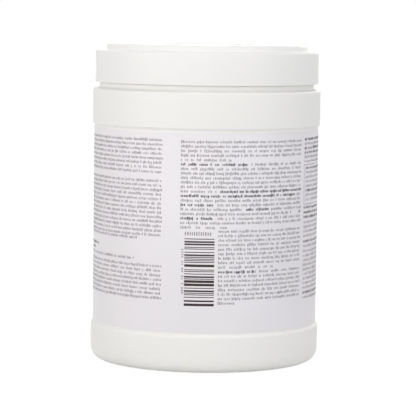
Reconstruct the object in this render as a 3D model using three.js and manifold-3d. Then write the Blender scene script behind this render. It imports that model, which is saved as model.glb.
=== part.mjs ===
// A canister of wet wipes, standing upright: a blow-moulded tub with a wrap-round label,
// a coreless roll of wipes, and a screw lid with a flip cap over its dispensing star.
// Millimetres, +Z up. The origin is the centre of the base, and the printed front faces -Y.
import * as THREE from "three";
import { mergeVertices } from "three/addons/utils/BufferGeometryUtils.js";
import Module from "manifold-3d";

const wasm = await Module();
wasm.setup();

// Fits and facets
const CLEARANCE = 0.3; // between pieces that rest on or turn in each other
const FACETS = 56; // round a large revolved piece, a multiple of four
const SMALL_FACETS = 24; // round a pin, a bore or the gathered wipe
const ARC_FACETS = 16; // along each arc of an outline that is extruded
const FILLET_STEPS = 2; // facets across a rounded corner
const OVERLAP = 0.5; // how far moulded features sink into each other before they are joined

// Roll of wipes, and the room left above it
const ROLL_HEIGHT = 152.4;
const ROLL_MOUTH_GAP = 1.5;
const CORE_RADIUS = 15;
const ROLL_ROUND = 1.2;
const HEADSPACE = 12.3;

// Tub: the panel's radius, and how far each stretch stands out from it or in
const PANEL_RADIUS = 62.3;
const BAND_STANDOUT = 1.45;
const SHOULDER_STANDOUT = 1.2;
const NECK_STEP = 3.7;
const BEAD_STANDOUT = 1.1;
const TUB_WALL = 1.4;
const NECK_WALL = 1.6;
const BAND_HEIGHT = 20.4;
const STEP_RISE = 1.2;
const SHOULDER_HEIGHT = 19.5;
const BEAD_HEIGHT = 5.4;
const BEAD_CHAMFER = 1.1;
const NECK_HEIGHT = 18.7;
const BASE_CORNER = 6.6;
const BAND_EDGE = 2.6;
const SHOULDER_EDGE = 1.8;
const SHOULDER_FLARE = 1.8;
const STEP_FILLET = 0.7;
const RIM_ROUND = 0.5;

// Push-up in the base, inside the standing ring
const FOOT_WIDTH = 12.75;
const FOOT_ROUND = 1.5;
const PUSH_UP_SLOPE = 7;
const PUSH_UP_ROUND = 3;
const PUSH_UP_HEIGHT = 4.2;

// Label film
const LABEL_GAP = 0.1;
const LABEL_THICKNESS = 0.25;
const LABEL_FOOT_MARGIN = 0.9;
const LABEL_TOP_MARGIN = 1.2;

// Lid: skirt, ledge, plateau and the seal inside the mouth
const LID_WALL = 1.6;
const SKIRT_GAP = 0.85;
const SKIRT_LIFT = 3.3;
const SKIRT_EDGE = 0.4;
const LEDGE_THICKNESS = 2.2;
const LEDGE_EDGE = 1.7;
const PLATEAU_INSET = 1.3;
const PLATEAU_DRAFT = 0.7;
const PLATEAU_RISE = 3.4;
const PLATEAU_EDGE = 1.5;
const PLATEAU_FOOT = 0.9;
const SEAL_GAP = 0.4;
const SEAL_WALL = 1.4;
const SEAL_DEPTH = 5.1;

// Well in the lid, with its collar and the dispensing star
const WELL_RADIUS = 30;
const WELL_WALL = 1.5;
const WELL_DEPTH = 8;
const WELL_FLOOR = 1.5;
const NOTCH_CORNER = 4;
const COLLAR_RADIUS = 18.4;
const COLLAR_WALL = 1.4;
const COLLAR_CAP_GAP = 1.6;
const STAR_HOLE_RADIUS = 3.4;
const STAR_REACH = 9;
const STAR_SLIT = 0.9;
const STAR_PETALS = 6;
const PETAL_MARGIN = 1.5;
const PETAL_THICKNESS = 1;

// Flip cap: plate, thumb tab and plug
const CAP_GAP = 0.7;
const CAP_THICKNESS = 1.6;
const CAP_SINK = 0.3;
const TAB_HALF_WIDTH = 8;
const TAB_LENGTH = 3.7;
const TAB_CORNER = 3;
const FINGER_ROOM = 5;
const FINGER_SIDE_ROOM = 3;
const PLUG_GAP = 0.4;
const PLUG_WALL = 1.2;
const PLUG_FLOOR_GAP = 1.1;
const PLUG_LEAD = 1.6;
const PLUG_TAPER = 0.3;

// Cap's hinge: pins that turn in two ears
const PIN_RADIUS = 1;
const BARREL_WALL = 0.7;
const EAR_WALL = 1.2;
const EAR_SINK = 0.2;
const EAR_INNER = 8;
const EAR_THICKNESS = 3;
const HINGE_SETBACK = 4.8;
const HINGE_ROOM = 4.6;
const TONGUE_GAP = 0.4;
const TONGUE_OVERHANG = 0.6;

// Leading wipe, gathered into a twist and drawn through the star
const TUFT_GAP = 4.9;
const TUFT_FOOT = 0.9;
const TWIST_FOOT_DROP = 3;
const WAIST_RADIUS = 6;
const WAIST_DROP = 60;
const TAIL_GAP = 0.8;
const TAIL_DROP = 95;

// Radii that follow from the sizes above
const BAND_RADIUS = PANEL_RADIUS + BAND_STANDOUT;
const SHOULDER_RADIUS = PANEL_RADIUS + SHOULDER_STANDOUT;
const NECK_RADIUS = PANEL_RADIUS - NECK_STEP;
const BEAD_RADIUS = NECK_RADIUS + BEAD_STANDOUT;
const MOUTH_RADIUS = NECK_RADIUS - NECK_WALL;
const ROLL_RADIUS = MOUTH_RADIUS - ROLL_MOUTH_GAP;
const FOOT_INNER_RADIUS = BAND_RADIUS - FOOT_WIDTH;
const PUSH_UP_RADIUS = FOOT_INNER_RADIUS - PUSH_UP_SLOPE;
const SKIRT_INNER_RADIUS = BEAD_RADIUS + SKIRT_GAP;
const LID_RADIUS = SKIRT_INNER_RADIUS + LID_WALL;
const PLATEAU_RADIUS = MOUTH_RADIUS - PLATEAU_INSET;
const CAP_RADIUS = WELL_RADIUS - CAP_GAP;
const TAB_REACH = CAP_RADIUS + TAB_LENGTH;
const COLLAR_INNER_RADIUS = COLLAR_RADIUS - COLLAR_WALL;
const PLUG_RADIUS = COLLAR_INNER_RADIUS - PLUG_GAP;
const PLUG_INNER_RADIUS = PLUG_RADIUS - PLUG_WALL;
const BARREL_RADIUS = PIN_RADIUS + BARREL_WALL;
const EAR_HEAD_RADIUS = PIN_RADIUS + CLEARANCE + EAR_WALL;
const EAR_OUTER = EAR_INNER + EAR_THICKNESS;
const TONGUE_HALF_WIDTH = EAR_INNER - TONGUE_GAP;
const HINGE_Y = WELL_RADIUS - HINGE_SETBACK;

// Levels, from the floor up
const ROLL_BOTTOM = PUSH_UP_HEIGHT + TUB_WALL + CLEARANCE;
const ROLL_TOP = ROLL_BOTTOM + ROLL_HEIGHT;
const RIM = ROLL_TOP + HEADSPACE;
const SHOULDER_TOP = RIM - NECK_HEIGHT;
const SHOULDER_BOTTOM = SHOULDER_TOP - SHOULDER_HEIGHT;
const PANEL_TOP = SHOULDER_BOTTOM - STEP_RISE;
const PANEL_BOTTOM = BAND_HEIGHT + STEP_RISE;
const LAND = RIM + CLEARANCE;
const LEDGE = LAND + LEDGE_THICKNESS;
const LID_TOP = LEDGE + PLATEAU_RISE;
const WELL_BOTTOM = LID_TOP - WELL_DEPTH;
const WELL_UNDERSIDE = WELL_BOTTOM - WELL_FLOOR;
const HINGE_Z = LID_TOP - EAR_SINK - EAR_HEAD_RADIUS;
const CAP_TOP = LID_TOP - CAP_SINK;
const CAP_UNDERSIDE = CAP_TOP - CAP_THICKNESS;

function finish(color, roughness) {
  return new THREE.MeshStandardMaterial({ color, roughness, metalness: 0 });
}

const IVORY_PLASTIC = finish("#eeede9", 0.42);
const LID_PLASTIC = finish("#efeeea", 0.38);
const LABEL_FILM = finish("#e6e5e9", 0.35);
const WET_NONWOVEN = finish("#f3f4f3", 0.85);

// Corners are [radius, height, fillet]. Each fillet is a curve that its two sides can hold.
function filleted(corners, closed = false) {
  const count = corners.length;
  const line = [];
  corners.forEach(([radius, height, fillet = 0], i) => {
    const corner = new THREE.Vector2(radius, height);
    if (fillet === 0) {
      line.push(corner);
      return;
    }
    const before = new THREE.Vector2(...corners[(i + count - 1) % count]);
    const after = new THREE.Vector2(...corners[(i + 1) % count]);
    const sides = [before.sub(corner), after.sub(corner)];
    const half = Math.acos(sides[0].dot(sides[1]) / (sides[0].length() * sides[1].length())) / 2;
    const room = 0.49 * Math.min(sides[0].length(), sides[1].length());
    const reach = Math.min(fillet / Math.tan(half), room);
    const [start, end] = sides.map((side) => side.setLength(reach).add(corner));
    line.push(...new THREE.QuadraticBezierCurve(start, corner, end).getPoints(FILLET_STEPS));
  });
  if (closed) {
    line.push(line[0].clone());
  }
  return line;
}

function revolved(line, facets = FACETS) {
  return new THREE.LatheGeometry(line, facets).rotateX(Math.PI / 2);
}

function ring(corners, facets = FACETS) {
  return revolved(filleted(corners, true), facets);
}

function upright(shape, bottom, top) {
  const depth = top - bottom;
  const settings = { depth, bevelEnabled: false, curveSegments: ARC_FACETS };
  const prism = new THREE.ExtrudeGeometry(shape, settings);
  return prism.translate(0, 0, bottom);
}

function column(radius, bottom, top, facets = SMALL_FACETS) {
  const cylinder = new THREE.CylinderGeometry(radius, radius, top - bottom, facets);
  return cylinder.rotateX(Math.PI / 2).translate(0, 0, (top + bottom) / 2);
}

// A round bar along the hinge's axis, centred on x = 0
function hingeBar(radius, length) {
  const bar = new THREE.CylinderGeometry(radius, radius, length, SMALL_FACETS);
  return bar.rotateZ(Math.PI / 2).translate(0, HINGE_Y, HINGE_Z);
}

function solid(geometry) {
  geometry.deleteAttribute("normal");
  geometry.deleteAttribute("uv");
  const merged = mergeVertices(geometry, 1e-4);
  const corners = merged.index.array;
  const kept = [];
  for (let i = 0; i < corners.length; i += 3) {
    const [a, b, c] = corners.slice(i, i + 3);
    if (a !== b && b !== c && c !== a) {
      kept.push(a, b, c);
    }
  }
  const vertProperties = merged.attributes.position.array;
  const triVerts = Uint32Array.from(kept);
  return new wasm.Manifold(new wasm.Mesh({ numProp: 3, vertProperties, triVerts }));
}

function surface(body) {
  const { vertProperties, triVerts } = body.getMesh();
  const geometry = new THREE.BufferGeometry();
  geometry.setAttribute("position", new THREE.BufferAttribute(vertProperties, 3));
  geometry.setIndex(new THREE.BufferAttribute(triVerts, 1));
  geometry.computeVertexNormals();
  return geometry;
}

function named(name, geometry, material) {
  const mesh = new THREE.Mesh(geometry, material);
  mesh.name = name;
  return mesh;
}

// One side of the tub's wall, from the axis to the top of the shoulder, set in by the wall.
// Its inside follows the steps without their fillets, as a blown wall does.
function tubLine(inset) {
  const stepFillet = inset > 0 ? 0 : STEP_FILLET;
  return [
    [0, PUSH_UP_HEIGHT + inset],
    [PUSH_UP_RADIUS, PUSH_UP_HEIGHT + inset, PUSH_UP_ROUND],
    [FOOT_INNER_RADIUS, inset, FOOT_ROUND],
    [BAND_RADIUS - inset, inset, BASE_CORNER - inset],
    [BAND_RADIUS - inset, BAND_HEIGHT - inset / 2, BAND_EDGE],
    [PANEL_RADIUS - inset, PANEL_BOTTOM - inset / 2, stepFillet],
    [PANEL_RADIUS - inset, PANEL_TOP + inset / 2, stepFillet],
    [SHOULDER_RADIUS - inset, SHOULDER_BOTTOM + inset / 2, stepFillet],
    [SHOULDER_RADIUS - inset, SHOULDER_TOP - inset, SHOULDER_EDGE],
  ];
}

function canister() {
  const beadTop = SHOULDER_TOP + BEAD_HEIGHT;
  const outside = [
    ...tubLine(0),
    [BEAD_RADIUS, SHOULDER_TOP, SHOULDER_FLARE],
    [BEAD_RADIUS, beadTop, STEP_FILLET],
    [NECK_RADIUS, beadTop + BEAD_CHAMFER],
    [NECK_RADIUS, RIM, RIM_ROUND],
  ];
  const inside = [
    ...tubLine(TUB_WALL),
    [MOUTH_RADIUS, SHOULDER_TOP - TUB_WALL, SHOULDER_EDGE],
    [MOUTH_RADIUS, RIM, RIM_ROUND],
  ];
  return named("canister", revolved(filleted([...outside, ...inside.reverse()])), IVORY_PLASTIC);
}

function label() {
  const inner = PANEL_RADIUS + LABEL_GAP;
  const outer = inner + LABEL_THICKNESS;
  const bottom = PANEL_BOTTOM + LABEL_FOOT_MARGIN;
  const top = PANEL_TOP - LABEL_TOP_MARGIN;
  const film = ring([[inner, bottom], [outer, bottom], [outer, top], [inner, top]]);
  return named("label", film, LABEL_FILM);
}

function wipesRoll() {
  const roll = ring([
    [CORE_RADIUS, ROLL_BOTTOM],
    [ROLL_RADIUS, ROLL_BOTTOM, ROLL_ROUND],
    [ROLL_RADIUS, ROLL_TOP, ROLL_ROUND],
    [CORE_RADIUS, ROLL_TOP],
  ]);
  return named("wipes_roll", roll, WET_NONWOVEN);
}

// The skirt, the ledge, the raised plateau and the seal that plugs the mouth, with no well yet
function lidShell() {
  const sealOuter = MOUTH_RADIUS - SEAL_GAP;
  const sealInner = sealOuter - SEAL_WALL;
  const ceiling = LID_TOP - LID_WALL;
  const skirtBottom = SHOULDER_TOP + SKIRT_LIFT;
  return revolved(filleted([
    [0, ceiling],
    [PLATEAU_RADIUS - LID_WALL, ceiling],
    [sealInner, LAND - SEAL_DEPTH],
    [sealOuter, LAND - SEAL_DEPTH, RIM_ROUND],
    [sealOuter, LAND],
    [SKIRT_INNER_RADIUS, LAND],
    [SKIRT_INNER_RADIUS, skirtBottom],
    [LID_RADIUS, skirtBottom, SKIRT_EDGE],
    [LID_RADIUS, LEDGE, LEDGE_EDGE],
    [PLATEAU_RADIUS + PLATEAU_DRAFT, LEDGE, PLATEAU_FOOT],
    [PLATEAU_RADIUS, LID_TOP, PLATEAU_EDGE],
    [0, LID_TOP],
  ]));
}

// Adds to a shape, from one angle round to another, an arc with a round-cornered tongue at the front
function arcWithTongue(shape, { radius, halfWidth, reach, corner, from, to }) {
  const front = 1.5 * Math.PI;
  const root = Math.asin(halfWidth / radius);
  shape.absarc(0, 0, radius, from, front - root, false);
  shape.lineTo(-halfWidth, corner - reach);
  shape.absarc(corner - halfWidth, corner - reach, corner, Math.PI, front, false);
  shape.absarc(halfWidth - corner, corner - reach, corner, front, 2 * Math.PI, false);
  shape.lineTo(halfWidth, -radius * Math.cos(root));
  shape.absarc(0, 0, radius, front + root, to, false);
  return shape;
}

// The well's plan, with the finger notch in front of the cap's tab, grown by an offset
function wellOutline(offset) {
  return arcWithTongue(new THREE.Shape(), {
    radius: WELL_RADIUS + offset,
    halfWidth: TAB_HALF_WIDTH + FINGER_SIDE_ROOM + offset,
    reach: TAB_REACH + FINGER_ROOM + offset,
    corner: NOTCH_CORNER + offset,
    from: 0.5 * Math.PI,
    to: 2.5 * Math.PI,
  });
}

// The two ears that carry the cap's pins, tied back into the well's wall
function hingeEars() {
  const shape = new THREE.Shape();
  const foot = WELL_BOTTOM - OVERLAP;
  shape.moveTo(HINGE_Y - EAR_HEAD_RADIUS, foot);
  shape.lineTo(WELL_RADIUS + WELL_WALL, foot);
  shape.lineTo(WELL_RADIUS + WELL_WALL, HINGE_Z);
  shape.lineTo(HINGE_Y + EAR_HEAD_RADIUS, HINGE_Z);
  shape.absarc(HINGE_Y, HINGE_Z, EAR_HEAD_RADIUS, 0, Math.PI, false);
  shape.lineTo(HINGE_Y - EAR_HEAD_RADIUS, foot);
  const alongX = new THREE.Matrix4().makeBasis(
    new THREE.Vector3(0, 1, 0),
    new THREE.Vector3(0, 0, 1),
    new THREE.Vector3(1, 0, 0),
  );
  const inWell = solid(column(WELL_RADIUS + OVERLAP, foot, LID_TOP, FACETS));
  const ears = [-EAR_OUTER, EAR_INNER].map((x) => {
    const ear = new THREE.ExtrudeGeometry(shape, { depth: EAR_THICKNESS, bevelEnabled: false });
    return solid(ear.applyMatrix4(alongX).translate(x, 0, 0));
  });
  const bore = solid(hingeBar(PIN_RADIUS + CLEARANCE, 2 * EAR_OUTER + OVERLAP));
  return ears[0].add(ears[1]).intersect(inWell).subtract(bore);
}

// Petals left between slits through a thinned disc of the well's floor
function starCut() {
  const foot = WELL_UNDERSIDE - OVERLAP;
  const top = WELL_BOTTOM + OVERLAP;
  const thinning = column(STAR_REACH + PETAL_MARGIN, foot, WELL_BOTTOM - PETAL_THICKNESS);
  let cut = solid(thinning).add(solid(column(STAR_HOLE_RADIUS, foot, top)));
  for (let i = 0; i < STAR_PETALS / 2; i += 1) {
    const slit = new THREE.BoxGeometry(2 * STAR_REACH, STAR_SLIT, top - foot);
    slit.rotateZ((i * 2 * Math.PI) / STAR_PETALS).translate(0, 0, (top + foot) / 2);
    cut = cut.add(solid(slit));
  }
  return cut;
}

function collar() {
  const foot = WELL_BOTTOM - OVERLAP;
  const top = CAP_UNDERSIDE - COLLAR_CAP_GAP;
  return ring([
    [COLLAR_INNER_RADIUS, foot],
    [COLLAR_RADIUS, foot],
    [COLLAR_RADIUS, top, SKIRT_EDGE],
    [COLLAR_INNER_RADIUS, top, SKIRT_EDGE],
  ]);
}

function lid() {
  const housing = upright(wellOutline(WELL_WALL), WELL_UNDERSIDE, LID_TOP - LID_WALL / 2);
  const well = upright(wellOutline(0), WELL_BOTTOM, LID_TOP + OVERLAP);
  const body = solid(lidShell())
    .add(solid(housing))
    .subtract(solid(well))
    .add(hingeEars())
    .add(solid(collar()))
    .subtract(starCut());
  return named("lid", surface(body), LID_PLASTIC);
}

// The cap's plan: a disc cut straight near the hinge, a tongue between the ears, a thumb tab
function capOutline() {
  const chord = HINGE_Y - HINGE_ROOM;
  const back = HINGE_Y + TONGUE_OVERHANG;
  const chordAngle = Math.asin(chord / CAP_RADIUS);
  const shape = new THREE.Shape();
  shape.moveTo(TONGUE_HALF_WIDTH, chord);
  shape.lineTo(TONGUE_HALF_WIDTH, back);
  shape.lineTo(-TONGUE_HALF_WIDTH, back);
  shape.lineTo(-TONGUE_HALF_WIDTH, chord);
  return arcWithTongue(shape, {
    radius: CAP_RADIUS,
    halfWidth: TAB_HALF_WIDTH,
    reach: TAB_REACH,
    corner: TAB_CORNER,
    from: Math.PI - chordAngle,
    to: 2 * Math.PI + chordAngle,
  });
}

// The round plug under the cap, tapered where it enters the collar
function capPlug() {
  const bottom = WELL_BOTTOM + PLUG_FLOOR_GAP;
  const root = CAP_UNDERSIDE + OVERLAP;
  return ring([
    [PLUG_INNER_RADIUS, bottom],
    [PLUG_RADIUS - PLUG_TAPER, bottom],
    [PLUG_RADIUS, bottom + PLUG_LEAD],
    [PLUG_RADIUS, root],
    [PLUG_INNER_RADIUS, root],
  ]);
}

function flipCap() {
  const pinLength = 2 * (EAR_OUTER - CLEARANCE);
  const body = solid(upright(capOutline(), CAP_UNDERSIDE, CAP_TOP))
    .add(solid(capPlug()))
    .add(solid(hingeBar(BARREL_RADIUS, 2 * TONGUE_HALF_WIDTH)))
    .add(solid(hingeBar(PIN_RADIUS, pinLength)));
  return named("flip_cap", surface(body), LID_PLASTIC);
}

// The tail lies in the roll's core, the twist passes the star, and the tuft waits under the cap
function leadWipe() {
  const twist = STAR_HOLE_RADIUS - CLEARANCE;
  const tuftRadius = PLUG_INNER_RADIUS - TUFT_GAP;
  const tuftFoot = WELL_BOTTOM + TUFT_FOOT;
  const tuftTop = CAP_UNDERSIDE - CLEARANCE;
  const gathered = filleted([
    [0, WELL_BOTTOM - TAIL_DROP],
    [CORE_RADIUS - TAIL_GAP, WELL_BOTTOM - TAIL_DROP, ROLL_ROUND],
    [WAIST_RADIUS, WELL_BOTTOM - WAIST_DROP, ROLL_ROUND],
    [twist, WELL_UNDERSIDE - TWIST_FOOT_DROP, ROLL_ROUND],
    [twist, tuftFoot, TUFT_FOOT],
    [tuftRadius, (tuftFoot + tuftTop) / 2, ROLL_ROUND],
    [0, tuftTop],
  ]);
  return named("lead_wipe", revolved(gathered, SMALL_FACETS), WET_NONWOVEN);
}

const wipesCanister = new THREE.Group();
wipesCanister.add(canister(), label(), wipesRoll(), leadWipe(), lid(), flipCap());

export default wipesCanister;
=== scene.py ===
# The looks of a canister of wet wipes: smooth mouldings, printed film, the roll and its first wipe.
# Lengths are millimetres until a mesh is made, and a mesh is in metres.

import math
import random

import bmesh
import bpy
from mathutils import Matrix, Vector

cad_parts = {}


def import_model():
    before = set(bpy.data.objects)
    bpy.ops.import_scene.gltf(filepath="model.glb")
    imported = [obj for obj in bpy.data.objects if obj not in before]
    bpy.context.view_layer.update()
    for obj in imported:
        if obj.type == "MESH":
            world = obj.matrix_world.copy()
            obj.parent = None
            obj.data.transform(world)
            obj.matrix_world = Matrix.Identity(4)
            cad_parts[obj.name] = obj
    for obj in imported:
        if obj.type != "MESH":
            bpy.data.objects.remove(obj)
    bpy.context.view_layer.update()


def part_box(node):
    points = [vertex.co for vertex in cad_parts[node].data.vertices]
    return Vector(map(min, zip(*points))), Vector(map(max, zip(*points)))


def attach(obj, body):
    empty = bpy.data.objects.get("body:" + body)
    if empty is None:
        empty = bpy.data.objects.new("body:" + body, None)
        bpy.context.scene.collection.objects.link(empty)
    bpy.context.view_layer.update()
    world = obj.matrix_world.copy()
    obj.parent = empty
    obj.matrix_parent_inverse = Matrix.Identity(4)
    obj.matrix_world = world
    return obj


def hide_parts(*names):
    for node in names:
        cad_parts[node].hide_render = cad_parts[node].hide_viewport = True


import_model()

MM = 0.001
TAU = 2 * math.pi


def levels(node):
    """The lowest and highest height of a CAD node, in mm."""
    low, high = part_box(node)
    return low.z / MM, high.z / MM


def reach(node):
    """The largest radius of a CAD node, in mm."""
    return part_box(node)[1].x / MM


# Levels and radii that come from the frame
RIM = levels("canister")[1]
BAND_RADIUS = reach("canister")
LABEL_BOTTOM, LABEL_TOP = levels("label")
LABEL_RADIUS = reach("label")
ROLL_BOTTOM, ROLL_TOP = levels("wipes_roll")
ROLL_RADIUS = reach("wipes_roll")
SKIRT_BOTTOM, LID_TOP = levels("lid")
LID_RADIUS = reach("lid")
CAP_TOP = levels("flip_cap")[1]
TAIL_BOTTOM = levels("lead_wipe")[0]

# Tub
PANEL_RADIUS = LABEL_RADIUS - 0.35
SHOULDER_RADIUS = PANEL_RADIUS + 1.2
NECK_RADIUS = PANEL_RADIUS - 3.7
BEAD_RADIUS = NECK_RADIUS + 1.1
MOUTH_RADIUS = NECK_RADIUS - 1.6
TUB_WALL = 1.4
SHOULDER_TOP = RIM - 18.7
SHOULDER_BOTTOM = SHOULDER_TOP - 19.5
PANEL_TOP = SHOULDER_BOTTOM - 1.2
BAND_TOP = 20.4
PANEL_BOTTOM = BAND_TOP + 1.2
PUSH_UP = 4.2
STANDING_RADIUS = BAND_RADIUS - 17
BASE_CORNER = 8.3
SHOULDER_EDGE = 1.8
BEAD_TOP = SHOULDER_TOP + 5.4

# Thread of the neck and the lid
PITCH = 5.08
NECK_THREAD_BOTTOM = 160.2
NECK_THREAD_TURNS = 1.75
LID_THREAD_START = 0.45
LID_THREAD_TURNS = 1.55
NECK_CREST = NECK_RADIUS + 1.4
LID_CREST = NECK_RADIUS + 0.6

# Lid
LID_WALL = 1.6
SKIRT_INNER = BEAD_RADIUS + 0.85
LAND = RIM + 0.3
LEDGE = LAND + 2.2
PLATEAU_RADIUS = MOUTH_RADIUS - 1.3
WELL_RADIUS = 30
WELL_WALL = 1.5
WELL_FLOOR = LID_TOP - 8
WELL_UNDERSIDE = WELL_FLOOR - WELL_WALL
COLLAR_RADIUS = 18.4
COLLAR_INNER = COLLAR_RADIUS - 1.4
STAR_HOLE = 3.4
STAR_REACH = 9
SLIT_HALF_WIDTH = 0.45
PETALS = 6
HINGE_Y = WELL_RADIUS - 4.8
HINGE_Z = LID_TOP - 2.7
EAR_INNER = 8
EAR_THICKNESS = 3
BORE_RADIUS = 1.3
PIN_RADIUS = 1.0
BARREL_RADIUS = 1.7
TAB_HALF_WIDTH = 8
CAP_RADIUS = WELL_RADIUS - 0.7
CAP_UNDERSIDE = CAP_TOP - 1.6
TAB_REACH = CAP_RADIUS + 3.7
NOTCH_HALF_WIDTH = TAB_HALF_WIDTH + 3
NOTCH_REACH = TAB_REACH + 5
NOTCH_CORNER = 4

# Roll and the first wipe
CORE_RADIUS = 15
WIPE_WIDTH = 152
PLEATS = 21
WRAP_TURNS = 0.96
TWIST_TURNS = 2.4
TUFT_SHARE = 0.16
THROAT = WELL_FLOOR + 1.5
THROAT_RADIUS = 2.9


def filleted(corners, steps=6, closed=False):
    """A line through corners (radius, height, fillet), each fillet a curve of that reach."""
    line = []
    count = len(corners)
    for i, (radius, height, *rest) in enumerate(corners):
        corner = Vector((radius, height))
        fillet = rest[0] if rest else 0
        if not fillet:
            line.append(corner)
            continue
        before = Vector(corners[i - 1][:2]) - corner
        after = Vector(corners[(i + 1) % count][:2]) - corner
        span = 0.49 * min(before.length, after.length)
        cut = min(fillet / math.tan(before.angle(after) / 2), span)
        start = corner + before.normalized() * cut
        end = corner + after.normalized() * cut
        for k in range(steps + 1):
            t = k / steps
            line.append((1 - t) ** 2 * start + 2 * t * (1 - t) * corner + t * t * end)
    if closed:
        line.append(line[0].copy())
    return line


def link(name, mesh):
    """A new object in the scene."""
    piece = bpy.data.objects.new(name, mesh)
    bpy.context.scene.collection.objects.link(piece)
    return piece


def made(name, bm):
    """An object from a mesh built in mm."""
    bmesh.ops.scale(bm, vec=(MM, MM, MM), verts=bm.verts)
    mesh = bpy.data.meshes.new(name)
    bm.to_mesh(mesh)
    bm.free()
    return link(name, mesh)


def strip(bm, low, high, closed=False):
    """Faces between two rows of vertices, triangles where a row has shrunk to one point."""
    count = len(low)
    for k in range(count if closed else count - 1):
        n = (k + 1) % count
        corners = list(dict.fromkeys((low[k], low[n], high[n], high[k])))
        if len(corners) > 2:
            bm.faces.new(corners)


def revolved(name, line, segments):
    """A closed surface swept round Z by a line of (radius, height)."""
    bm = bmesh.new()
    closed = (line[0] - line[-1]).length < 1e-6
    points = line[:-1] if closed else line
    rings = []
    for radius, height in points:
        if radius < 1e-6:
            rings.append([bm.verts.new((0, 0, height))] * segments)
            continue
        turn = (TAU * k / segments for k in range(segments))
        places = [(radius * math.cos(a), radius * math.sin(a), height) for a in turn]
        rings.append([bm.verts.new(place) for place in places])
    for low, high in zip(rings, rings[1:]):
        strip(bm, low, high, True)
    if closed:
        strip(bm, rings[-1], rings[0], True)
    bmesh.ops.recalc_face_normals(bm, faces=bm.faces)
    return made(name, bm)


def extruded(name, outline, way):
    """A solid with a flat outline of (x, y, z) points, drawn out along a vector."""
    bm = bmesh.new()
    base = bm.faces.new([bm.verts.new(point) for point in outline])
    grown = bmesh.ops.extrude_face_region(bm, geom=[base])["geom"]
    moved = [v for v in grown if isinstance(v, bmesh.types.BMVert)]
    bmesh.ops.translate(bm, vec=way, verts=moved)
    bmesh.ops.recalc_face_normals(bm, faces=bm.faces)
    return made(name, bm)


def prism(name, outline, bottom, top):
    """An upright solid on an outline of (x, y) points."""
    return extruded(name, [(x, y, bottom) for x, y in outline], (0, 0, top - bottom))


def bar_along_x(name, radius, length):
    """A round bar on the cap's hinge axis."""
    bm = bmesh.new()
    quarter = Matrix.Rotation(math.pi / 2, 4, "Y")
    turn = Matrix.Translation((0, HINGE_Y, HINGE_Z)) @ quarter
    bmesh.ops.create_cone(
        bm, cap_ends=True, segments=48, radius1=radius, radius2=radius, depth=length, matrix=turn
    )
    return made(name, bm)


def arc(radius, start, end, steps, centre=(0, 0)):
    """Points on a circle between two angles."""
    x, y = centre
    turn = [start + (end - start) * k / steps for k in range(steps + 1)]
    return [(x + radius * math.cos(a), y + radius * math.sin(a)) for a in turn]


def with_tongue(radius, half_width, reach_y, corner, start, end):
    """An arc from start round to end, with a round-cornered tongue at the front."""
    front = 1.5 * math.pi
    root = math.asin(half_width / radius)
    return (
        arc(radius, start, front - root, 72)
        + arc(corner, math.pi, front, 10, (corner - half_width, corner - reach_y))
        + arc(corner, front, TAU, 10, (half_width - corner, corner - reach_y))
        + arc(radius, front + root, end, 72)
    )


def applied(piece):
    """Its modifiers made part of its mesh."""
    graph = bpy.context.evaluated_depsgraph_get()
    mesh = bpy.data.meshes.new_from_object(piece.evaluated_get(graph))
    piece.modifiers.clear()
    piece.data = mesh
    return piece


def joined(piece, other, operation="UNION"):
    """A boolean of two closed pieces, which uses up the second."""
    cut = piece.modifiers.new("join", "BOOLEAN")
    cut.operation = operation
    cut.solver = "EXACT"
    cut.object = other
    applied(piece)
    bpy.data.objects.remove(other)
    return piece


def softened(piece, width, angle=40, segments=2):
    """Sharp edges rounded off by a narrow bevel."""
    bevel = piece.modifiers.new("edges", "BEVEL")
    bevel.width = width * MM
    bevel.segments = segments
    bevel.limit_method = "ANGLE"
    bevel.angle_limit = math.radians(angle)
    bevel.use_clamp_overlap = True
    return applied(piece)


def smooth(piece, angle=32):
    """Smooth shading, but for edges sharper than an angle in degrees."""
    piece.data.polygons.foreach_set("use_smooth", [True] * len(piece.data.polygons))
    piece.data.set_sharp_from_angle(angle=math.radians(angle))
    return piece


def placed(piece, body, material, replaces=None):
    """A finished piece: its material, the body it rides on and the CAD node it stands for."""
    piece.data.materials.clear()
    piece.data.materials.append(material)
    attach(piece, body)
    if replaces:
        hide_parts(replaces)


# Materials

def srgb(red, green, blue):
    """A colour written as 0 to 255, as the linear values that a shader takes."""
    def linear(value):
        share = value / 255
        return share / 12.92 if share <= 0.04045 else ((share + 0.055) / 1.055) ** 2.4
    return (linear(red), linear(green), linear(blue), 1)


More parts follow.
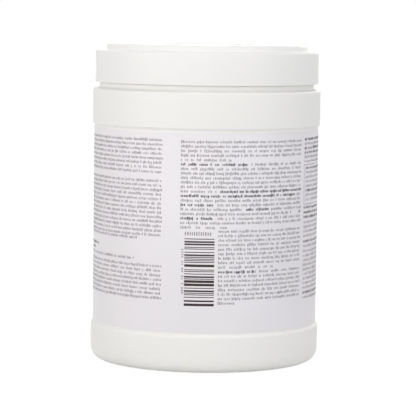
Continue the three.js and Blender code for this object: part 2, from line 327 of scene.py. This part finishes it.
class Shader:
    """A material's node tree, with its Principled shader as bsdf."""

    def __init__(self, name, roughness, specular=0.5):
        self.material = bpy.data.materials.new(name)
        self.material.use_nodes = True
        self.tree = self.material.node_tree
        self.bsdf = self.tree.nodes["Principled BSDF"]
        self.bsdf.inputs["Roughness"].default_value = roughness
        self.bsdf.inputs["Specular IOR Level"].default_value = specular

    def translucent(self, share, depth):
        """Light that spreads under the surface, to a depth in mm."""
        self.bsdf.inputs["Subsurface Weight"].default_value = share
        self.bsdf.inputs["Subsurface Radius"].default_value = (1, 0.95, 0.85)
        self.bsdf.inputs["Subsurface Scale"].default_value = depth * MM

    def node(self, kind, **values):
        """A new node with its settings."""
        node = self.tree.nodes.new(kind)
        for key, value in values.items():
            setattr(node, key, value)
        return node

    def wire(self, output, target):
        """A link between two sockets."""
        self.tree.links.new(output, target)

    def place(self, scale=(1, 1, 1)):
        """Object coordinates, stretched."""
        coordinates = self.node("ShaderNodeTexCoord")
        mapping = self.node("ShaderNodeMapping")
        mapping.inputs["Scale"].default_value = scale
        self.wire(coordinates.outputs["Object"], mapping.inputs["Vector"])
        return mapping.outputs["Vector"]

    def noise(self, place, scale, detail=2.0, roughness=0.5):
        """Noise from 0 to 1; the larger the scale, the smaller its grain."""
        noise = self.node("ShaderNodeTexNoise")
        noise.inputs["Scale"].default_value = scale
        noise.inputs["Detail"].default_value = detail
        noise.inputs["Roughness"].default_value = roughness
        self.wire(place, noise.inputs["Vector"])
        return noise.outputs["Fac"]

    def blend(self, factor, low, high):
        """A colour between two, by a factor."""
        ramp = self.node("ShaderNodeValToRGB")
        ramp.color_ramp.elements[0].position = 0.3
        ramp.color_ramp.elements[1].position = 0.7
        ramp.color_ramp.elements[0].color = low
        ramp.color_ramp.elements[1].color = high
        self.wire(factor, ramp.inputs["Fac"])
        return ramp.outputs["Color"]

    def rough(self, factor, low, high):
        """Roughness between two values, by a factor."""
        spread = self.node("ShaderNodeMapRange")
        spread.inputs["To Min"].default_value = low
        spread.inputs["To Max"].default_value = high
        self.wire(factor, spread.inputs["Value"])
        self.wire(spread.outputs["Result"], self.bsdf.inputs["Roughness"])

    def bump(self, height, strength, distance, below=None):
        """A relief of a height in metres, laid on another one if given."""
        bump = self.node("ShaderNodeBump")
        bump.inputs["Strength"].default_value = strength
        bump.inputs["Distance"].default_value = distance
        self.wire(height, bump.inputs["Height"])
        if below:
            self.wire(below, bump.inputs["Normal"])
        return bump.outputs["Normal"]

    def done(self, color, normal):
        """The finished material."""
        self.wire(color, self.bsdf.inputs["Base Color"])
        self.wire(normal, self.bsdf.inputs["Normal"])
        return self.material


def moulded_plastic(name, light, dark, roughness, grain):
    """Satin polyolefin: cloudy in colour, with faint flow marks and a fine moulded grain."""
    shader = Shader(name, roughness)
    shader.translucent(0.25, 1)
    clouds = shader.noise(shader.place(), 18, 3)
    flow = shader.noise(shader.place((60, 60, 6)), 1.4, 3)
    fine = shader.noise(shader.place(), grain, 4, 0.6)
    shader.rough(clouds, roughness - 0.05, roughness + 0.06)
    waves = shader.bump(flow, 0.12, 0.0003)
    normal = shader.bump(fine, 0.1, 0.00006, waves)
    return shader.done(shader.blend(clouds, dark, light), normal)


def film():
    """Printed film: a cool white with the slight waviness of a wrapped sheet."""
    shader = Shader("label_film", 0.36)
    tone = shader.noise(shader.place(), 22, 2)
    ripple = shader.noise(shader.place((1, 1, 0.35)), 55, 2)
    fine = shader.noise(shader.place(), 2600, 2)
    shader.rough(tone, 0.33, 0.4)
    waves = shader.bump(ripple, 0.1, 0.00025)
    normal = shader.bump(fine, 0.05, 0.00002, waves)
    return shader.done(shader.blend(tone, srgb(239, 236, 239), srgb(244, 241, 244)), normal)


def ink(name, low, high):
    """Print that covers the film unevenly, as small type does."""
    shader = Shader(name, 0.45, 0.3)
    cover = shader.noise(shader.place(), 2400, 2, 0.7)
    normal = shader.bump(cover, 0.05, 0.00002)
    return shader.done(shader.blend(cover, low, high), normal)


def nonwoven():
    """Wet nonwoven: fibres in two directions, matted, with small pits."""
    shader = Shader("nonwoven", 0.62, 0.35)
    along = shader.noise(shader.place((900, 900, 160)), 1, 4, 0.7)
    across = shader.noise(shader.place((220, 220, 1300)), 1, 4, 0.7)
    mixed = shader.node("ShaderNodeMath", operation="MULTIPLY")
    shader.wire(along, mixed.inputs[0])
    shader.wire(across, mixed.inputs[1])
    scaled = shader.node("ShaderNodeMath", operation="MULTIPLY")
    scaled.inputs[1].default_value = 2
    shader.wire(mixed.outputs[0], scaled.inputs[0])
    shader.rough(along, 0.5, 0.75)
    normal = shader.bump(scaled.outputs[0], 0.45, 0.0003)
    color = shader.blend(scaled.outputs[0], srgb(229, 230, 230), srgb(248, 248, 247))
    return shader.done(color, normal)


TUB = moulded_plastic("tub_plastic", srgb(249, 248, 244), srgb(246, 245, 240), 0.42, 1500)
LID = moulded_plastic("lid_plastic", srgb(250, 249, 246), srgb(247, 246, 243), 0.38, 2200)
FILM = film()
GREY_INK = ink("print_grey", srgb(144, 140, 144), srgb(177, 173, 177))
DARK_INK = ink("print_dark", srgb(52, 49, 54), srgb(84, 80, 86))
BAR_INK = ink("print_bars", srgb(50, 36, 36), srgb(72, 56, 56))
WIPE = nonwoven()


# Tub

def tub_line(inset):
    """One side of the tub's wall, from the axis to the top of the shoulder."""
    return [
        (0, PUSH_UP + inset),
        (STANDING_RADIUS - 7, PUSH_UP + inset, 3),
        (STANDING_RADIUS, inset, 1.5),
        (BAND_RADIUS - inset, inset, BASE_CORNER - inset),
        (BAND_RADIUS - inset, BAND_TOP - inset / 2, 2.6),
        (PANEL_RADIUS - inset, PANEL_BOTTOM - inset / 2, 0.7),
        (PANEL_RADIUS - inset, PANEL_TOP + inset / 2, 0.7),
        (SHOULDER_RADIUS - inset, SHOULDER_BOTTOM + inset / 2, 0.7),
        (SHOULDER_RADIUS - inset, SHOULDER_TOP - inset, SHOULDER_EDGE),
    ]


def tub():
    """The blow-moulded tub, a thin wall with an open mouth."""
    outside = tub_line(0) + [
        (BEAD_RADIUS, SHOULDER_TOP, SHOULDER_EDGE),
        (BEAD_RADIUS, BEAD_TOP, 0.7),
        (NECK_RADIUS, BEAD_TOP + 1.1),
        (NECK_RADIUS, RIM, 0.5),
    ]
    inside = tub_line(TUB_WALL) + [
        (MOUTH_RADIUS, SHOULDER_TOP - TUB_WALL, 1.3),
        (MOUTH_RADIUS, RIM, 0.5),
    ]
    piece = revolved("tub", filleted(outside + inside[::-1], 8), 256)
    placed(smooth(piece), "canister", TUB, "canister")


def pinch_off():
    """The weld left across the push-up where the blow mould closed on the parison."""
    half_length, half_width = 17, 0.6
    outline = [
        (-half_length, -half_width), (half_length, -half_width),
        (half_length, half_width), (-half_length, half_width),
    ]
    piece = softened(prism("pinch_off", outline, PUSH_UP - 0.5, PUSH_UP + 0.3), 0.25)
    placed(smooth(piece), "canister", TUB)


def helix(name, root, crest, root_width, crest_width, bottom, start, turns):
    """A thread's ridge on a right-hand helix, which runs out to nothing at both ends."""
    steps = int(96 * turns)
    runout = 0.08 * steps
    bm = bmesh.new()
    rings = []
    for k in range(steps + 1):
        angle = TAU * (start + turns * k / steps)
        share = min(1, k / runout, (steps - k) / runout)
        share = max(0.02, math.sin(share * math.pi / 2))
        height = bottom + PITCH * angle / TAU
        tip = root + (crest - root) * share
        wide = root_width / 2
        thin = crest_width / 2 * share
        section = [(root, -wide), (tip, -thin), (tip, thin), (root, wide)]
        ring = [(r * math.cos(angle), r * math.sin(angle), height + z) for r, z in section]
        rings.append([bm.verts.new(point) for point in ring])
    for low, high in zip(rings, rings[1:]):
        strip(bm, low, high, True)
    bm.faces.new(rings[0])
    bm.faces.new(rings[-1][::-1])
    bmesh.ops.recalc_face_normals(bm, faces=bm.faces)
    return smooth(softened(made(name, bm), 0.15, 30), 50)


def threads():
    """The ridges on the neck and in the lid, half a pitch apart."""
    neck = helix(
        "neck_thread", NECK_RADIUS - 0.3, NECK_CREST, 2.6, 1.0,
        NECK_THREAD_BOTTOM, 0, NECK_THREAD_TURNS,
    )
    placed(neck, "canister", TUB)
    inside = helix(
        "lid_thread", SKIRT_INNER + 0.3, LID_CREST, 1.8, 0.8,
        NECK_THREAD_BOTTOM - PITCH / 2, LID_THREAD_START, LID_THREAD_TURNS,
    )
    placed(inside, "lid", LID)


# Label

def on_label(angle, height, radius):
    """A point on the label, angle in degrees to the right of the front."""
    turn = math.radians(angle)
    return (radius * math.sin(turn), -radius * math.cos(turn), height)


def label():
    """The film, wrapped round the recessed panel."""
    inner = PANEL_RADIUS + 0.06
    line = filleted([
        (inner, LABEL_BOTTOM),
        (LABEL_RADIUS, LABEL_BOTTOM, 0.08),
        (LABEL_RADIUS, LABEL_TOP, 0.08),
        (inner, LABEL_TOP),
    ], 3, True)
    piece = revolved("label_wrap", line, 256)
    placed(smooth(piece, 50), "canister", FILM, "label")


def label_lap():
    """The film's end, where it laps over itself at the back of the tub."""
    angles = [176 + k for k in range(9)]
    end = 187
    outer = [on_label(angle, 0, LABEL_RADIUS + 0.12)[:2] for angle in angles]
    outer.append(on_label(end, 0, LABEL_RADIUS - 0.02)[:2])
    inner = [on_label(angle, 0, LABEL_RADIUS - 0.1)[:2] for angle in angles + [end]]
    piece = prism("label_lap", outer + inner[::-1], LABEL_BOTTOM + 0.05, LABEL_TOP - 0.05)
    placed(smooth(piece, 30), "canister", FILM)


class Print:
    """Rectangles of ink laid on the label, gathered into one mesh."""

    LIFT = 0.03

    def __init__(self):
        self.bm = bmesh.new()

    def patch(self, left, right, bottom, top):
        """One rectangle, between two angles in degrees and two heights."""
        steps = max(1, round((right - left) / 3))
        cuts = [left + (right - left) * k / steps for k in range(steps + 1)]
        radius = LABEL_RADIUS + self.LIFT
        low = [self.bm.verts.new(on_label(angle, bottom, radius)) for angle in cuts]
        high = [self.bm.verts.new(on_label(angle, top, radius)) for angle in cuts]
        strip(self.bm, low, high)

    def finish(self, name, material):
        """The patches as one piece."""
        placed(made(name, self.bm), "canister", material)


# Stand-in type, in mm, but the space between words in letters
LETTER_PITCH = 0.86
X_HEIGHT = 1.02
WORD_SPACE = 0.7
DEGREES_PER_MM = 360 / (TAU * LABEL_RADIUS)


def type_line(rng, ink_print, left, right, base, bold=False):
    """A line of stand-in type: words of small blocks, spread from edge to edge."""
    pitch = LETTER_PITCH * (1.05 if bold else 1)
    room = (right - left) / DEGREES_PER_MM + 0.4 * pitch
    words = []
    used = 0
    while True:
        count = rng.choice((1, 2, 3, 3, 4, 5, 6, 7, 8, 9, 11))
        if used + count * pitch > room:
            break
        words.append(count)
        used += count * pitch
        if used + 2 * pitch > room:
            break
        used += WORD_SPACE * pitch
    space = WORD_SPACE * pitch + max(0, room - used) / max(1, len(words) - 1)
    at = 0
    for count in words:
        for _ in range(count):
            wide = pitch * rng.uniform(0.45, 0.85 if bold else 0.72)
            tall = X_HEIGHT + rng.choice((0, 0, 0, 0, 0.1, 0.4, 0.45))
            drop = rng.choice((0, 0, 0, 0, 0, 0, 0.35))
            start = left + at * DEGREES_PER_MM
            ink_print.patch(start, start + wide * DEGREES_PER_MM, base - drop, base + tall)
            at += pitch
        at += space


def columns(grey, dark):
    """The label's three columns of type, in two inks; angles across and heights down."""
    rng = random.Random(11)

    def row(middle, *spans):
        """One line of type, in spans of (ink, left end, right end)."""
        for ink_print, start, end in spans:
            base = middle - X_HEIGHT / 2
            type_line(rng, ink_print, start, end, base, ink_print is dark)

    def block(left, right, top, step, count, bold=(), short=None):
        """Lines from a height down, some of them bold and the last one maybe short."""
        for i in range(count):
            end = short if short is not None and i == count - 1 else right
            row(top - i * step, (dark if i in bold else grey, left, end))

    # Left column
    left, right = -98, -21.9
    block(left, right, 125.7, 2.45, 8)
    block(left, right, 103.7, 2.44, 13)
    row(72.51, (grey, left, -36))
    row(66.51, (dark, left, -69))
    row(63.91, (dark, left, -76))
    row(61.11, (grey, left, -37.5))
    block(left, right, 57.7, 2.47, 8)

    # Middle column, over the full width and then beside the bars
    left, right = -12.3, 56
    plain = [(grey, left, right)]
    rows = 4 * [plain] + [
        [(grey, left, 13)],
        [(dark, left, 21.2), (grey, 23, right)],
    ] + 5 * [plain] + [
        [(grey, left, 5.8), (dark, 7.2, right)],
        [(dark, left, 51.3), (grey, 52.5, right)],
        plain,
        [(dark, left, 4.3), (grey, 6, right)],
        [(grey, left, 18.6), (dark, 20.5, 32.8), (grey, 34.5, right)],
        [(grey, left, 45.5), (dark, 47.5, right)],
        [(dark, left, 3.9), (grey, 6, right)],
        plain,
        [(grey, left, 11.4)],
    ]
    for i, spans in enumerate(rows):
        row(125.2 - 2.416 * i, *spans)
    left = 6.6
    block(left, right, 77.3, 2.425, 9, short=36.4)
    row(55.4, (dark, left, 26), (grey, 28, right))
    block(left, right, 53.0, 2.42, 7, short=16.2)

    # Right column, with a thin frame round its second block
    left, right = 59.4, 128
    block(left, right, 125.8, 2.43, 6, (0, 2, 3))
    frame_left, frame_right = left - 0.2, right + 2
    frame_bottom, frame_top, rule = 90.0, 111.9, 0.22
    dark.patch(frame_left, frame_right, frame_top - rule, frame_top)
    dark.patch(frame_left, frame_right, frame_bottom, frame_bottom + rule)
    dark.patch(frame_left, left, frame_bottom, frame_top)
    dark.patch(right + 1.8, frame_right, frame_bottom, frame_top)
    block(left + 1.6, right, 109.9, 2.47, 8, (0, 5))
    block(left, right, 88.2, 2.65, 3, (0, 1, 2))
    block(left, right, 80.1, 2.5, 4)
    block(left, right, 69.6, 2.6, 2, (0,))
    block(left, right, 64.2, 2.52, 9)
    block(left, right, 41.3, 2.7, 2, (0,))


def bars(ladder, marks):
    """A ladder of bars of its own pattern, with small marks beside it and blocks above it."""
    rng = random.Random(5)
    module = 0.45
    left, right, bottom, top = -10.1, 4.7, 37.0, 73.9
    widths = (1, 1, 2, 2, 3)
    at = bottom
    while at < top:
        thick = module * rng.choice(widths)
        ladder.patch(left, right, at, min(at + thick, top))
        at += thick + module * rng.choice(widths)
    middle = -11.1
    height, marks_top = 43.6, 67
    while height < marks_top:
        half = rng.uniform(0.9, 1.3) * DEGREES_PER_MM / 2
        marks.patch(middle - half, middle + half, height, height + rng.uniform(0.5, 0.9))
        height += rng.choice((1.3, 1.3, 1.3, 2.6))
    base = 75.1
    gap = 0.6 * DEGREES_PER_MM
    at, blocks_end = -10, 3.5
    while at < blocks_end:
        wide = rng.uniform(0.5, 0.75) * DEGREES_PER_MM
        marks.patch(at, at + wide, base, base + rng.uniform(1.7, 2.1))
        at += wide + gap


def printing():
    """All the print, one piece for each ink."""
    grey = Print()
    dark = Print()
    ladder = Print()
    columns(grey, dark)
    bars(ladder, grey)
    grey.finish("print_text", GREY_INK)
    dark.finish("print_headings", DARK_INK)
    ladder.finish("print_bars", BAR_INK)


# Lid

def lid_shell():
    """The lid as it would be with a plain round well: skirt, ledge, plateau, seal and collar."""
    seal = MOUTH_RADIUS - 0.4
    seal_foot = LAND - 5.1
    ceiling = LID_TOP - LID_WALL
    collar_top = CAP_UNDERSIDE - 1.6
    wall = WELL_RADIUS + WELL_WALL
    return revolved("lid_moulding", filleted([
        (0, WELL_UNDERSIDE),
        (wall, WELL_UNDERSIDE, 0.8),
        (wall, ceiling, 0.8),
        (PLATEAU_RADIUS - LID_WALL, ceiling, 0.8),
        (seal - 1.4, seal_foot, 0.3),
        (seal, seal_foot, 0.6),
        (seal, LAND, 0.3),
        (SKIRT_INNER, LAND, 0.5),
        (SKIRT_INNER, SKIRT_BOTTOM, 0.3),
        (LID_RADIUS, SKIRT_BOTTOM, 0.45),
        (LID_RADIUS, LEDGE, 1.7),
        (PLATEAU_RADIUS + 0.7, LEDGE, 0.9),
        (PLATEAU_RADIUS, LID_TOP, 1.5),
        (WELL_RADIUS, LID_TOP, 0.4),
        (WELL_RADIUS, WELL_FLOOR, 0.6),
        (COLLAR_RADIUS, WELL_FLOOR, 0.5),
        (COLLAR_RADIUS, collar_top, 0.5),
        (COLLAR_INNER, collar_top, 0.5),
        (COLLAR_INNER, WELL_FLOOR, 0.5),
        (0, WELL_FLOOR),
    ]), 224)


def notch_outline(offset):
    """The finger notch in front of the well, grown by an offset and open towards the well."""
    half = NOTCH_HALF_WIDTH + offset
    reach_y = NOTCH_REACH + offset
    corner = NOTCH_CORNER + offset
    inner = WELL_RADIUS - 4
    front = 1.5 * math.pi
    return (
        [(half, -inner), (-half, -inner)]
        + arc(corner, math.pi, front, 12, (corner - half, corner - reach_y))
        + arc(corner, front, TAU, 12, (half - corner, corner - reach_y))
    )


def star_cutter():
    """The hole and the slits that leave petals in the well's floor."""
    foot, top = WELL_UNDERSIDE - 1, WELL_FLOOR + 1
    star = prism("star", arc(STAR_HOLE, 0, TAU - TAU / 48, 47), foot, top)
    for i in range(PETALS // 2):
        turn = Matrix.Rotation(i * TAU / PETALS, 2)
        corners = [
            (-STAR_REACH, -SLIT_HALF_WIDTH), (STAR_REACH, -SLIT_HALF_WIDTH),
            (STAR_REACH, SLIT_HALF_WIDTH), (-STAR_REACH, SLIT_HALF_WIDTH),
        ]
        slit = prism("slit", [tuple(turn @ Vector(c)) for c in corners], foot - 0.5, top + 0.5)
        joined(star, slit)
    return star


def ear(x):
    """An ear of the hinge, from x outwards by its thickness, tied back to the well's wall."""
    head = 2.5
    foot = WELL_FLOOR - 0.5
    back = WELL_RADIUS - 0.6
    outline = [(HINGE_Y - head, foot), (back, foot), (back, HINGE_Z)]
    outline += arc(head, 0, math.pi, 24, (HINGE_Y, HINGE_Z))
    return extruded("ear", [(x, y, z) for y, z in outline], (EAR_THICKNESS, 0, 0))


def lid():
    """The lid: its shell, the notch for a finger, the hinge's ears and the star."""
    piece = lid_shell()
    around = notch_outline(WELL_WALL)
    joined(piece, prism("notch_wall", around, WELL_UNDERSIDE + 0.01, LID_TOP - 0.8))
    clear = with_tongue(
        WELL_RADIUS - 0.01, NOTCH_HALF_WIDTH, NOTCH_REACH, NOTCH_CORNER,
        1.2 * math.pi, 1.8 * math.pi,
    )
    notch = prism("notch", [(0, -20)] + clear, WELL_FLOOR + 0.01, LID_TOP + 1)
    joined(piece, notch, "DIFFERENCE")
    for x in (-EAR_INNER - EAR_THICKNESS, EAR_INNER):
        joined(piece, ear(x))
    joined(piece, bar_along_x("bore", BORE_RADIUS, 30), "DIFFERENCE")
    joined(piece, star_cutter(), "DIFFERENCE")
    smooth(softened(piece, 0.22, 50))
    placed(piece, "lid", LID, "lid")


# Flip cap

def cap():
    """The cap with its tab, the plug that closes the collar, and the pins it swings on."""
    chord = HINGE_Y - 4.6
    back = HINGE_Y + 0.6
    tongue = EAR_INNER - 0.4
    turn = math.asin(chord / CAP_RADIUS)
    outline = [(tongue, chord), (tongue, back), (-tongue, back), (-tongue, chord)]
    outline += with_tongue(CAP_RADIUS, TAB_HALF_WIDTH, TAB_REACH, 3, math.pi - turn, TAU + turn)
    plate = softened(prism("cap_moulding", outline, CAP_UNDERSIDE, CAP_TOP), 0.45, 40, 3)
    plug = COLLAR_INNER - 0.4
    root = CAP_UNDERSIDE + 0.5
    foot = WELL_FLOOR + 1.1
    joined(plate, revolved("plug", filleted([
        (plug - 1.2, foot, 0.3),
        (plug - 0.3, foot, 0.4),
        (plug, foot + 1.6, 0.5),
        (plug, root),
        (plug - 1.2, root),
    ], 4, True), 128))
    joined(plate, bar_along_x("barrel", BARREL_RADIUS, 2 * tongue))
    pin_end = EAR_INNER + EAR_THICKNESS - 0.3
    joined(plate, bar_along_x("pins", PIN_RADIUS, 2 * pin_end))
    smooth(plate)
    placed(plate, "flip_cap", LID, "flip_cap")


# Roll and first wipe

def end_face(height, out):
    """A line across one end of the roll, with a ridge for each turn."""
    line = []
    rng = random.Random(3)
    radius = CORE_RADIUS + 0.7
    while radius < ROLL_RADIUS - 1.6:
        step = rng.uniform(0.45, 0.85)
        dip = rng.uniform(0.25, 0.75)
        line.append(Vector((radius, height - out * 0.15)))
        line.append(Vector((radius + step / 2, height - out * dip)))
        radius += step
    return line


def roll():
    """The coreless roll, whose end faces show its turns as ridges."""
    rim = ROLL_RADIUS - 2
    side = filleted([
        (rim, ROLL_BOTTOM),
        (ROLL_RADIUS, ROLL_BOTTOM, 1),
        (ROLL_RADIUS, ROLL_TOP, 1),
        (rim, ROLL_TOP),
    ], 5)[1:-1]
    core = [Vector((CORE_RADIUS, ROLL_TOP - 1)), Vector((CORE_RADIUS, ROLL_BOTTOM + 1))]
    line = end_face(ROLL_BOTTOM, -1) + side + end_face(ROLL_TOP, 1)[::-1] + core
    line.append(line[0].copy())
    piece = smooth(revolved("roll_of_wipes", line, 160), 80)
    placed(piece, "canister", WIPE, "wipes_roll")


def gather_radius(height):
    """The outer radius of the gathered wipe at a height below the tuft, in mm."""
    stations = [
        (TAIL_BOTTOM, CORE_RADIUS - 1), (108, 6.2), (150, 4.2), (164, 3.0), (170, THROAT_RADIUS),
    ]
    for (low, wide), (high, thin) in zip(stations, stations[1:]):
        if height <= high:
            share = (height - low) / (high - low)
            share = share * share * (3 - 2 * share)
            return wide + (thin - wide) * share
    return stations[-1][1]


def wipe_point(u, t):
    """A point of the first wipe, from 0 to 1 across it and from its tail to its tuft."""
    wave = math.sin(TAU * PLEATS * u + 0.6 * math.sin(7 * u + 5 * t))
    crumple = math.sin(TAU * 15 * t + 9 * u + 2 * math.sin(11 * u))
    tail = TAIL_BOTTOM + 0.6
    if t < 1 - TUFT_SHARE:
        share = t / (1 - TUFT_SHARE)
        height = tail + (THROAT - tail) * share
        height += 0.5 * crumple * (1 - share) * min(1, 8 * share)
        wide = gather_radius(height)
        half_pleat = WIPE_WIDTH / (2 * PLEATS)
        run = math.pi * 0.7 * wide / PLEATS
        depth = min(0.9 * wide, math.sqrt(half_pleat ** 2 - run ** 2))
        radius = wide - depth * (1 - wave) / 2
        radius -= 0.045 * wide * (1 + crumple)
    else:
        opened = (t - 1 + TUFT_SHARE) / TUFT_SHARE
        lobe = 0.84 + 0.16 * math.sin(TAU * 2.5 * u + 1)
        wide = THROAT_RADIUS - 1.9 * opened + 6.6 * math.sin(math.pi * opened) * lobe
        radius = wide - min(0.8 * wide, 2.6) * (1 - wave) / 2
        height = THROAT + 3.5 * math.sin(opened * math.pi / 2)
        height += (0.3 * wave + 0.2 * crumple) * opened
    turn = TAU * WRAP_TURNS * u + TAU * TWIST_TURNS * t
    return (radius * math.cos(turn), radius * math.sin(turn), height)


def first_wipe():
    """One wipe, pleated lengthways, twisted through the star and opened into a tuft."""
    across, along = 504, 160
    bm = bmesh.new()
    rows = []
    for j in range(along + 1):
        points = [wipe_point(i / across, j / along) for i in range(across + 1)]
        rows.append([bm.verts.new(point) for point in points])
    for low, high in zip(rows, rows[1:]):
        strip(bm, low, high)
    piece = smooth(made("first_wipe", bm), 180)
    placed(piece, "lead_wipe", WIPE, "lead_wipe")


# Stage

# Metres, degrees and pixels
CAMERA_DISTANCE = 1.295246
CAMERA_HEIGHT = 0.195699
CAMERA_PITCH = 4.9006
CAMERA_ROLL = 0.7517
CAMERA_YAW = 0.0644
FOCAL_PIXELS = 2312.63
PHOTO_PIXELS = 416


def camera():
    """The photograph's view, where the camera stands in metres."""
    data = bpy.data.cameras.new("camera")
    data.sensor_width = 36
    data.lens = data.sensor_width * FOCAL_PIXELS / PHOTO_PIXELS
    data.clip_start = 0.05
    data.clip_end = 20
    eye = link("camera", data)
    yaw = Matrix.Rotation(math.radians(-CAMERA_YAW), 4, "Z")
    pitch = Matrix.Rotation(math.radians(90 - CAMERA_PITCH), 4, "X")
    tilt = Matrix.Rotation(math.radians(CAMERA_ROLL), 4, "Z")
    stand = Matrix.Translation((0, -CAMERA_DISTANCE, CAMERA_HEIGHT))
    eye.matrix_world = stand @ yaw @ pitch @ tilt
    bpy.context.scene.camera = eye


def lamp(name, place, target, size, power, color):
    """A soft rectangular lamp; its power in watts."""
    data = bpy.data.lights.new(name, "AREA")
    data.shape = "RECTANGLE"
    data.size, data.size_y = size
    data.energy = power
    data.color = color
    light = link(name, data)
    aim = Vector(target) - Vector(place)
    turn = aim.to_track_quat("-Z", "Y").to_matrix().to_4x4()
    light.matrix_world = Matrix.Translation(place) @ turn


def seen_white(tree, share):
    """How far a surface shows plain white: to the camera and reflections, by a share."""
    rays = tree.nodes.new("ShaderNodeLightPath")
    factor = rays.outputs["Is Camera Ray"]
    for kind in ("Is Glossy Ray", "Is Transmission Ray"):
        both = tree.nodes.new("ShaderNodeMath")
        both.operation = "MAXIMUM"
        tree.links.new(factor, both.inputs[0])
        tree.links.new(rays.outputs[kind], both.inputs[1])
        factor = both.outputs[0]
    scaled = tree.nodes.new("ShaderNodeMath")
    scaled.operation = "MULTIPLY"
    scaled.inputs[1].default_value = share
    tree.links.new(factor, scaled.inputs[0])
    return scaled.outputs[0]


def world():
    """An even soft light, which shows as plain white."""
    scene_world = bpy.data.worlds.new("studio")
    bpy.context.scene.world = scene_world
    scene_world.use_nodes = True
    tree = scene_world.node_tree
    soft = tree.nodes["Background"]
    soft.inputs["Color"].default_value = (1, 1, 1, 1)
    soft.inputs["Strength"].default_value = 0.46
    white = tree.nodes.new("ShaderNodeBackground")
    white.inputs["Color"].default_value = (1, 1, 1, 1)
    mix = tree.nodes.new("ShaderNodeMixShader")
    tree.links.new(seen_white(tree, 1), mix.inputs["Fac"])
    tree.links.new(soft.outputs[0], mix.inputs[1])
    tree.links.new(white.outputs[0], mix.inputs[2])
    tree.links.new(mix.outputs[0], tree.nodes["World Output"].inputs["Surface"])


def floor():
    """A pale floor just under the standing ring, which keeps the canister's shadow."""
    half_side, drop = 4000, 0.3
    bm = bmesh.new()
    bmesh.ops.create_grid(bm, x_segments=1, y_segments=1, size=half_side)
    bmesh.ops.translate(bm, vec=(0, 0, -drop), verts=bm.verts)
    piece = made("floor", bm)
    material = bpy.data.materials.new("floor")
    material.use_nodes = True
    tree = material.node_tree
    matte = tree.nodes["Principled BSDF"]
    matte.inputs["Base Color"].default_value = srgb(224, 224, 224)
    matte.inputs["Roughness"].default_value = 0.9
    matte.inputs["Specular IOR Level"].default_value = 0.1
    white = tree.nodes.new("ShaderNodeEmission")
    white.inputs["Strength"].default_value = 1.07
    mix = tree.nodes.new("ShaderNodeMixShader")
    tree.links.new(seen_white(tree, 0.9), mix.inputs["Fac"])
    tree.links.new(matte.outputs[0], mix.inputs[1])
    tree.links.new(white.outputs[0], mix.inputs[2])
    tree.links.new(mix.outputs[0], tree.nodes["Material Output"].inputs["Surface"])
    piece.data.materials.append(material)


def lights():
    """Soft lamps round the canister, aimed at heights on its axis."""
    under_lid, upper, middle, low = (0, 0, 0.18), (0, 0, 0.17), (0, 0, 0.12), (0, 0, 0.09)
    lamp("key", (-0.56, -0.42, 0.28), under_lid, (0.7, 0.25), 1.45, (1, 0.983, 0.97))
    lamp("front", (-0.05, -1.3, 0.34), upper, (0.7, 0.25), 1.6, (1, 0.985, 0.985))
    lamp("back", (0.15, 0.95, 0.42), middle, (0.9, 0.4), 1.5, (1, 1, 0.99))
    lamp("top", (0.1, -0.75, 0.9), (0, -0.3, 0.05), (1.1, 0.6), 0.3, (1, 1, 0.99))
    lamp("side", (0.43, -0.47, 0.29), under_lid, (0.48, 0.24), 0.74, (0.93, 0.945, 1))
    lamp("rim", (0.15, -0.12, 1.1), low, (0.35, 0.35), 1.6, (1, 1, 1))


camera()
tub()
pinch_off()
threads()
label()
label_lap()
printing()
lid()
cap()
roll()
first_wipe()
floor()
world()
lights()

bpy.context.scene.view_settings.view_transform = "Standard"
